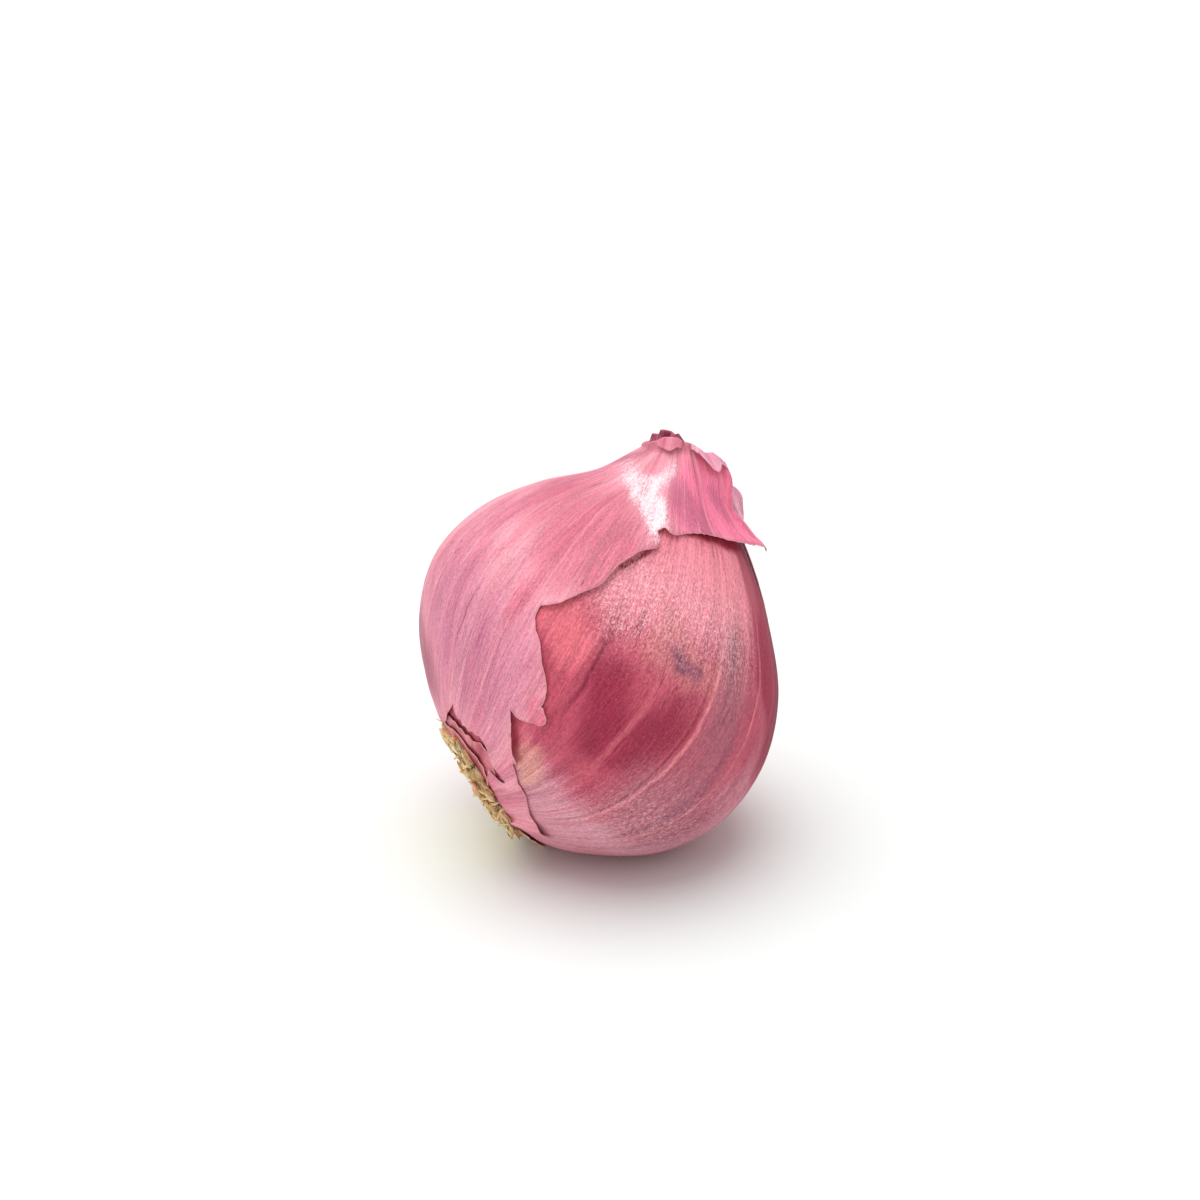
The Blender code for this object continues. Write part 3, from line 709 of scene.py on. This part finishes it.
# Where the white patch lies: whitened skin under a painted highlight of glare.
BLOOM_AND_GLARE = [
    (0.5, 0, (50, 0.945), (32, 0.915), 2.4), (0.5, 0, (20, 0.9), (8, 0.89), 1.8),
    (0.55, 0, (30, 0.915), (10, 0.895), 1.9), (1.1, 0, (8, 0.885), (-8, 0.84), 2.1),
    (0.9, 0, (-8, 0.84), (-14, 0.79), 2), (0.8, 0, (2, 0.91), (-17, 0.965), 1.5)]
SKIN_SMEARS = {
    "mauve": [(1, 0, (52, 0.42), (24, 0.36), 6.5)],
    "rose": [
        (0.8, 0, (44, 0.76), (10, 0.68), 6), (0.5, 0, (14, 0.8), (0, 0.68), 3.2),
        (0.8, 0, (-50, 0.975), (-100, 0.96), 2)],
    # dark: a dark mauve patch low down, and painted shade along the top of the neck on its left.
    "dark": [(1, 0, (82, 0.27), (66, 0.23), 4), (0.55, 0, (66, 0.94), (34, 1), 1.6)],
    "tongue": [(1, 0, (-2, 0.372), (-7, 0.352), 1.2)],
    "flap": [(1, 0, (-30, 0.9), (-110, 0.88), 5)],
    "fibrous": [(1, 0, (-22, 0.9), (-42, 0.86), 2.6), (0.7, 0, (-62, 0.93), (-74, 0.88), 1.4)],
}
masks = {name: patch(vein, height, smears) for name, smears in SKIN_SMEARS.items()}
masks["flap"] *= ease(height, 0.78, 0.80)
masks["bloom_and_glare"] = patch(vein, height, BLOOM_AND_GLARE, most=1.15)
# Darker towards the neck's rim: painted shade along the rim over the dried skin's own colour.
masks["withered_and_shade"] = ease(height + 0.006 * waves(turn * 0.3, height * 20, 33, 10, 1.5), 0.975, 1.03)
masks["depth"] = depth
add_skin("papery_skin", turn, height, distance, triangles, [dry_skin, skin_lining], masks,
         "outer_skin")

# ------------------------------------------------------------------ base skins
# Older, drier leaves that stayed fast to the root plate when the outer skin cracked away from
# them. Each is a short collar with a curled, nibbled upper edge; a scrap of one has come loose.
OUTER_COLLAR = [
    [(99, 0.13, 0.1), (100, 0.16, 0.1), (103, 0.178, 0.15), (106, 0.196, 0.25), (109, 0.208, 0.3),
     (112, 0.212, 0.25), (114, 0.204, 0.2), (116, 0.193, 0.2), (118, 0.198, 0.25), (120, 0.191, 0.25),
     (122, 0.196, 0.25), (124, 0.188, 0.25), (127, 0.19, 0.2), (129, 0.182, 0.2), (132, 0.176, 0.1),
     (140, 0.145, 0.05), (160, 0.12, 0.05), (190, 0.105, 0.05), (230, 0.096, 0.1)],
    [(282, 0.078, 0.1), (300, 0.05, 0.1)],
    [(282, 0.02, 0), (200, 0.02, 0)],
    [(99, 0.02, 0), (98, 0.07, 0)]]
INNER_COLLAR = [
    [(88, 0.06, 0.1), (94, 0.075, 0.1), (98, 0.098, 0.15), (101, 0.125, 0.2), (104, 0.14, 0.25),
     (107, 0.152, 0.3), (110, 0.16, 0.3), (114, 0.166, 0.25), (118, 0.16, 0.25), (122, 0.164, 0.25),
     (128, 0.156, 0.2), (134, 0.138, 0.15), (150, 0.102, 0.1), (185, 0.075, 0.1), (230, 0.055, 0.2),
     (300, 0.05, 0.2), (370, 0.055, 0.2)],
    [(410, 0.06, 0.1), (414, 0.03, 0)],
    [(410, 0.005, 0), (250, 0.005, 0)],
    [(88, 0.005, 0), (84, 0.03, 0)]]
LOOSE_SCRAP = [
    [(101, 0.06, 0.1), (99, 0.085, 0.6), (100, 0.105, 0.9), (103, 0.112, 1)],
    [(105, 0.1, 0.9), (107, 0.075, 0.6), (106, 0.05, 0.1)]]

old_skin = dry_skin_material("old_skin", (230, 142, 150), (178, 80, 98), (158, 70, 96),
                             40.0, [("tan", (206, 150, 118), 0.8)])
old_lining = dry_skin_material("old_lining", (240, 190, 176), (206, 130, 126), (190, 120, 124),
                               60.0, [("tan", (222, 178, 140), 0.8)])

# Each skin's (name, outline, distance off the flesh, depth of its nibbled edge, seed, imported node)
collars = [("outer_collar", OUTER_COLLAR, 0.12, 0.07, 41, "base_skin"),
           ("inner_collar", INNER_COLLAR, 0.28, 0.08, 47, None),
           ("loose_scrap", LOOSE_SCRAP, 0.9, 0.05, 53, None)]
for name, outline, rest, ragged, seed, node in collars:
    turn, height, depth, lift, triangles = cut_skin(outline, 0.2, ragged, seed)
    crinkle = 0.07 * waves(turn * 0.31, height * 30, seed, 14, 3.0)
    distance = rest + crinkle + lift * np.exp(-(depth / 0.8) ** 1.2)
    tan = np.clip(ease(-height, -0.13, -0.04) + (0.6 if name == "loose_scrap" else 0), 0, 1)
    add_skin(name, turn, height, distance, triangles, [old_skin, old_lining],
             {"depth": depth, "tan": tan, "bloom_and_glare": np.zeros(len(depth))}, node)

# ------------------------------------------------------------------ root plate and roots
# The short woody stem at the very bottom, a corky disc, and the stumps of its dried roots, which
# cover it like a worn brush.
PLATE_SIDES, PLATE_RINGS = 150, 36
PLATE_RADIUS = 6.5          # millimetres, like the distances below
PLATE_DEPTH = 0.9           # how far the middle bulges out
ROOT_GAP = 0.3              # the least height of plate and roots above the table


def root_material(name, pale, deep):
    """Dry cork and root: cream on its crests, tan on its sides, and painted shade brown in its cracks and
    at the roots' feet.
    """
    material, s, finish = new_material(name)
    place = s.node("ShaderNodeTexCoord").outputs["Object"]
    cork = s.noise(place, 900.0, 5.0, 0.65)
    crumbs = s.noise(place, 3500.0, 3.0, 0.6)
    colour = s.mix(s.between(cork, 0.35, 0.65), deep, pale)
    colour = s.mix(s.between(s.mask("hollow_shade"), 0.1, 1.0, 0.0, 0.8), colour, srgb(118, 66, 44))
    colour = s.dim(colour, s.math("MULTIPLY_ADD", crumbs, 0.5, 0.75))
    s.link(colour, finish.inputs["Base Color"])
    finish.inputs["Roughness"].default_value = 0.8
    finish.inputs["Specular IOR Level"].default_value = 0.2
    height = s.math("ADD", cork, s.times(crumbs, 0.4))
    bump = s.node("ShaderNodeBump", {"Height": height, "Strength": 1.0, "Distance": 0.0004})
    s.link(bump.outputs[0], finish.inputs["Normal"])
    return material


cork = root_material("cork", srgb(255, 238, 192), srgb(255, 208, 150))
rim = bulb_surface(np.array([0.0, 180.0, 90.0, 270.0]), np.full(4, 0.012))
plate_middle = rim[:2].mean(axis=0)
plate_across, plate_forward = (rim[0] - rim[1]) / 2, (rim[2] - rim[3]) / 2
plate_out = np.cross(plate_across, plate_forward)
plate_out /= np.linalg.norm(plate_out)
above_plate = bulb_surface(np.array([0.0, 180.0]), np.full(2, 0.2)).mean(axis=0)
plate_out *= -np.sign(plate_out @ (above_plate - plate_middle))


def on_plate(angle, reach, out):
    """A point over the root plate: its place round and across the disc, and how far it stands out
    (in millimetres) from the plane of the disc's rim."""
    x, y = (reach * np.cos(angle))[..., None], (reach * np.sin(angle))[..., None]
    out = (np.array(out) * MM)[..., None]
    return plate_middle + x * plate_across + y * plate_forward + out * plate_out


angle, reach = np.meshgrid(np.arange(PLATE_SIDES) * 2 * np.pi / PLATE_SIDES,
                           np.linspace(1.03, 0.02, PLATE_RINGS))
x, y = reach * np.cos(angle) * PLATE_RADIUS, reach * np.sin(angle) * PLATE_RADIUS
lumps = 0.38 * waves(x, y, 61, 20, 3.2) + 0.15 * waves(x, y, 62, 20, 8.0)
bulge = PLATE_DEPTH * (1 - reach**2) + lumps * ease(-reach, -1.0, -0.8) - 0.5 * ease(reach, 0.93, 1.03)
lie = on_plate(angle, reach, bulge)
inside_end = on_plate(np.zeros(1), np.zeros(1), np.array([-1.2]))
points = np.concatenate([lie.reshape(-1, 3), inside_end, lie[-1].mean(axis=0)[None]])
points[:, 2] = np.maximum(points[:, 2], FLOOR + ROOT_GAP * MM)
# Painted shade: browner in the hollows between the lumps.
hollow_shade = np.append(np.clip(0.4 - lumps * 1.4, 0, 1).ravel(), [0, 0.5])
flat = np.zeros(len(points))
plate = add_piece("root_disc", points, closed_rings(PLATE_RINGS, PLATE_SIDES), flat, flat, [cork],
                  {"hollow_shade": hollow_shade})
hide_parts("root_plate")

ROOTS, ROOT_SIDES, ROOT_RINGS = 760, 7, 7
# How high up the flank of the bulb they have spread, for each turn.
SPREAD = [
    (0, 0.01), (45, 0.012), (60, 0.045), (72, 0.06), (85, 0.088), (100, 0.1), (110, 0.125), (125, 0.13),
    (136, 0.115), (146, 0.07), (160, 0.03), (185, 0.012), (360, 0.01)]
random = np.random.default_rng(71)
around = random.uniform(0, 2 * np.pi, ROOTS)
spread = np.interp(np.degrees(around), *np.transpose(SPREAD))
out_to = np.sqrt(random.uniform(0.02, 1.0, ROOTS)) * (PLATE_RADIUS + spread * LEAF_LENGTH)
spot = out_to / PLATE_RADIUS
fibrous = random.uniform(0, 1, ROOTS) < 0.12
length = np.where(fibrous, random.uniform(0.7, 1.2, ROOTS), random.uniform(0.25, 0.95, ROOTS))
thick = np.where(fibrous, random.uniform(0.10, 0.18, ROOTS), random.uniform(0.3, 0.95, ROOTS))
splay = spot * 0.3 + random.normal(0, 0.6, ROOTS)
swing = around + random.normal(0, 0.7, ROOTS)
along = np.linspace(0, 1, ROOT_RINGS)
lean = splay[:, None] * along * length[:, None]
curl = random.normal(0, 0.35, (ROOTS, 1)) * along**2 * length[:, None]
# Beyond the plate's rim a root's foot sinks with the flank of the bulb.
flank = bulb_surface(np.degrees(around), np.maximum(out_to - PLATE_RADIUS, 0) / LEAF_LENGTH)
flank_out = (flank - plate_middle) @ plate_out
sink = np.where(spot > 1, flank_out / MM, PLATE_DEPTH * (1 - np.minimum(spot, 1)**2))
side_step = flank - plate_middle - flank_out[:, None] * plate_out
flat_x = side_step @ plate_across / (plate_across @ plate_across)
flat_y = side_step @ plate_forward / (plate_forward @ plate_forward)
foot_x = np.where(spot > 1, flat_x, spot * np.cos(around)) * PLATE_RADIUS
foot_y = np.where(spot > 1, flat_y, spot * np.sin(around)) * PLATE_RADIUS
mid_x = foot_x[:, None] + lean * np.cos(swing)[:, None] - curl * np.sin(swing)[:, None]
mid_y = foot_y[:, None] + lean * np.sin(swing)[:, None] + curl * np.cos(swing)[:, None]
mid_out = (sink + np.where(spot > 1, 0.1, -0.25))[:, None] + along * length[:, None]
profile = np.interp(along, [0, 0.15, 0.6, 0.85, 1.0], [0.9, 1.0, 1.05, 0.95, 0.6])
side = np.arange(ROOT_SIDES) * 2 * np.pi / ROOT_SIDES
knobs = 1 + 0.3 * random.normal(0, 1, (ROOTS, ROOT_RINGS, ROOT_SIDES)).clip(-1.5, 1.5)
girth = thick[:, None, None] * profile[None, :, None] * knobs
x = mid_x[..., None] + girth * np.cos(side)
y = mid_y[..., None] + girth * np.sin(side)
out = mid_out[..., None] + 0 * x
tubes = on_plate(np.arctan2(y, x), np.hypot(x, y) / PLATE_RADIUS, out)
roots_each = ROOT_RINGS * ROOT_SIDES + 2
ends = np.stack([tubes[:, 0].mean(axis=1), tubes[:, -1].mean(axis=1) + plate_out * 0.06 * MM], axis=1)
points = np.concatenate([tubes.reshape(ROOTS, -1, 3), ends], axis=1).reshape(-1, 3)
points[:, 2] = np.maximum(points[:, 2], FLOOR + ROOT_GAP * MM)
offset = (np.arange(ROOTS) * roots_each)[:, None, None]
faces = [(f[None] + offset).reshape(-1, f.shape[1]) for f in closed_rings(ROOT_RINGS, ROOT_SIDES)]
# Each root gets a random tone of its own, and painted shade browns it towards its foot, where the roots
# crowd.
tone = random.uniform(0, 0.22, ROOTS)
hollow_shade = np.concatenate([np.repeat((tone[:, None] + 0.35 * (1 - along) ** 2), ROOT_SIDES, axis=1),
                         np.stack([tone + 0.5, tone], axis=1)], axis=1).ravel()
flat = np.zeros(len(points))
roots = add_piece("dried_roots", points, faces, flat, flat, [cork], {"hollow_shade": np.clip(hollow_shade, 0, 1)})

# ------------------------------------------------------------------ neck
# The withered tops of the leaves, pinched together where the plant dried off: three crumpled
# sleeves inside the outer skin's rim, a lip and a small fold of that rim rolled outwards, and a
# flake of an older skin behind the flap.
neck_skin = dry_skin_material("neck_skin", (226, 132, 148), (176, 76, 100), (158, 64, 96),
                              80.0, [("withered_and_shade", (120, 36, 60), 0.9)])
lip_skin = dry_skin_material("lip_skin", (250, 190, 206), (228, 140, 164), (214, 140, 176),
                             100.0, [("withered_and_shade", (150, 116, 96), 0.9)])


def add_sheet(name, turn, height, distance, materials, masks, closed):
    """A grid of places over the bulb as one thin sheet, joined into a sleeve if it is closed."""
    quads = grid_quads(*turn.shape, closed)
    masks = {key: value.ravel() for key, value in {"bloom_and_glare": 0 * turn, **masks}.items()}
    return add_skin(name, turn.ravel(), height.ravel(), distance.ravel(), quads, materials, masks,
                    None)


# Each sleeve's (name, height of its foot, height of its head, distance at the foot and at the
# head, seed), with the distances inwards from the flesh's own outline.
sleeves = [("outer_sleeve", 0.92, 1.034, -0.5, -0.7, 81),
           ("middle_sleeve", 0.95, 1.040, -1.1, -1.6, 83),
           ("inner_sleeve", 0.96, 1.038, -1.8, -2.4, 85)]
for name, foot, head, wide, tight, seed in sleeves:
    around, up = np.meshgrid(np.arange(0, 360, 2.0), np.linspace(0, 1, 40))
    ragged = (0.008 * waves(around * 0.07, 0 * up, seed, 12, 1.0)
              + 0.002 * waves(around * 0.3, 0 * up, seed + 1, 12, 1.0))
    slope = (0.010 * np.cos(np.radians(around - 150))
             - 0.02 * bell(around, 20, 40) - 0.02 * bell(around, 380, 40))
    height = foot + (head - foot + ragged + slope) * up
    fold = 0.40 * waves(np.radians(around) * 5, up, seed + 2, 10, 2.2) * ease(up, 0.3, 0.9)
    distance = wide + (tight - wide) * ease(up, 0.1, 0.8) + np.minimum(fold, 0.35)
    withered_and_shade = ease(up + 0.15 * waves(around * 0.2, up * 3, seed + 3, 8, 2.0), 0.78, 0.98)
    sleeve = add_sheet(name, around, height, distance, [neck_skin, neck_skin],
                       {"depth": 3 * (1 - up), "withered_and_shade": withered_and_shade}, True)
    if name == "outer_sleeve":
        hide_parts("neck_tuft")

fold_skin = dry_skin_material("fold_skin", (236, 146, 164), (204, 104, 126), (190, 96, 126),
                              120.0, [("withered_and_shade", (160, 72, 92), 0.5)])
# The height of the outer skin's rim at each turn where it is rolled.
ROLLED_RIM = [
    (2, 0.967), (9, 0.97), (18, 0.977), (30, 0.988), (45, 1.002), (62, 1.021), (90, 1.031), (120, 1.029),
    (150, 1.019)]
# Each roll's (name, turns it runs between, hang, least and further share of the hang from its
# right to its left end, how far it stands off, material, seed).
folded = [("rolled_lip", 14, 66, 0.046, 0.45, 0.8, 0.6, lip_skin, 91),
          ("neck_fold", 76, 128, 0.022, 1.0, 0.0, 0.2, fold_skin, 101)]
for name, start, end, hang, least, further, stand, leaf_material, seed in folded:
    around, roll = np.meshgrid(np.linspace(start, end, 70), np.linspace(0, 1, 24))
    share = (around - start) / (end - start)
    taper = np.sin(np.pi * np.clip(share, 0, 1)) ** 0.5
    hem = hang * (1 + 0.35 * waves(around * 0.2, 0 * roll, seed, 8, 2.0))
    hem = hem * (least + further * ease(share, 0.2, 0.7))
    rim_height = np.interp(around, *np.transpose(ROLLED_RIM))
    height = rim_height + taper * (0.010 * np.sin(np.pi * roll**0.7) - hem * roll**1.6)
    distance = (0.05 + 1.6 * bell(around, 6, 42) + SKIN_REST
                + taper * (stand * np.sin(roll * 1.9) + 0.25 * roll**3)
                + 0.10 * waves(around * 0.25, roll * 2, seed + 1, 8, 2.0))
    withered_and_shade = ease(-share + 0.1 * waves(around * 0.1, roll * 4, 93, 6, 2.0), -0.16, -0.02)
    add_sheet(name, around, height, distance, [leaf_material, lip_skin],
              {"depth": 1.2 * (1 - roll), "withered_and_shade": withered_and_shade}, False)

up, side = np.meshgrid(np.linspace(0, 1, 40), np.linspace(-1, 1, 16))
broad = (side + 1) / 2 * np.sin(np.pi * (0.04 + 0.92 * up)) ** 0.7
around = -1 - 7 * broad + 1.5 * waves(up * 9, side, 95, 8, 2.0) * broad
height = 0.868 + 0.080 * up + 0.004 * waves(up * 4, side * 3, 96, 8, 2.0)
distance = 0.3 + 1.9 * broad + 0.15 * waves(up * 8, side * 2, 97, 8, 2.0)
flake = add_sheet("flap_flake", around, height, distance, [neck_skin, lip_skin],
                  {"depth": 0.8 * (1 - broad), "withered_and_shade": 0.8 * ease(-broad, -0.5, -0.1)}, False)
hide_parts("neck_flake")

# ------------------------------------------------------------------ floor, lights and camera
# A plain pale table under a wide soft lamp overhead, a little to the left, with a low window to
# the front left and a bright room all round.
floor_mesh = bpy.data.meshes.new("table")
floor_mesh.from_pydata([(-40, -40, 0), (40, -40, 0), (40, 40, 0), (-40, 40, 0)], [], [(0, 1, 2, 3)])
table = bpy.data.objects.new("table", floor_mesh)
bpy.context.scene.collection.objects.link(table)
pale_table, s, finish = new_material("pale_table")
finish.inputs["Base Color"].default_value = srgb(238, 243, 241)
finish.inputs["Roughness"].default_value = 0.7
finish.inputs["Specular IOR Level"].default_value = 0.2
floor_mesh.materials.append(pale_table)


def soft_lamp(name, towards, width, power):
    """A far lamp that looks as wide as the given angle and shines from one direction."""
    lamp = bpy.data.lights.new(name, "SUN")
    lamp.angle = np.radians(width)
    lamp.energy = power
    panel = bpy.data.objects.new(name, lamp)
    panel.rotation_euler = Vector(towards).to_track_quat("Z", "Y").to_euler()
    bpy.context.scene.collection.objects.link(panel)


soft_lamp("overhead", (-0.15, 0.0, 1.0), 60, 2.0)
soft_lamp("low_window", (-0.8, -1.0, 0.1), 60, 0.55)
room = bpy.data.worlds.new("bright_room")
room.use_nodes = True
s = Shader(room.node_tree)
seen = s.node("ShaderNodeLightPath").outputs["Is Camera Ray"]
backdrop = room.node_tree.nodes["Background"]
backdrop.inputs["Color"].default_value = (1, 1, 1, 1)
s.link(s.math("MULTIPLY_ADD", seen, 0.46, 0.60), backdrop.inputs["Strength"])
bpy.context.scene.world = room
bpy.context.scene.view_settings.view_transform = "Standard"

VIEW_HEIGHT = np.radians(20)
VIEW_DISTANCE = 0.1925
BULB_MIDDLE = (0, 0, 27.5)  # in the same millimetres as the bulb's two outlines
aim = np.array(BULB_MIDDLE) * bulb_scale + bulb_shift
camera = bpy.data.objects.new("camera", bpy.data.cameras.new("camera"))
camera.data.lens = 50
camera.data.sensor_width = 36
camera.data.clip_start = 0.01
camera.location = aim + VIEW_DISTANCE * np.array([0, -np.cos(VIEW_HEIGHT), np.sin(VIEW_HEIGHT)])
camera.rotation_euler = (np.pi / 2 - VIEW_HEIGHT, 0, 0)
bpy.context.scene.collection.objects.link(camera)
bpy.context.scene.camera = camera
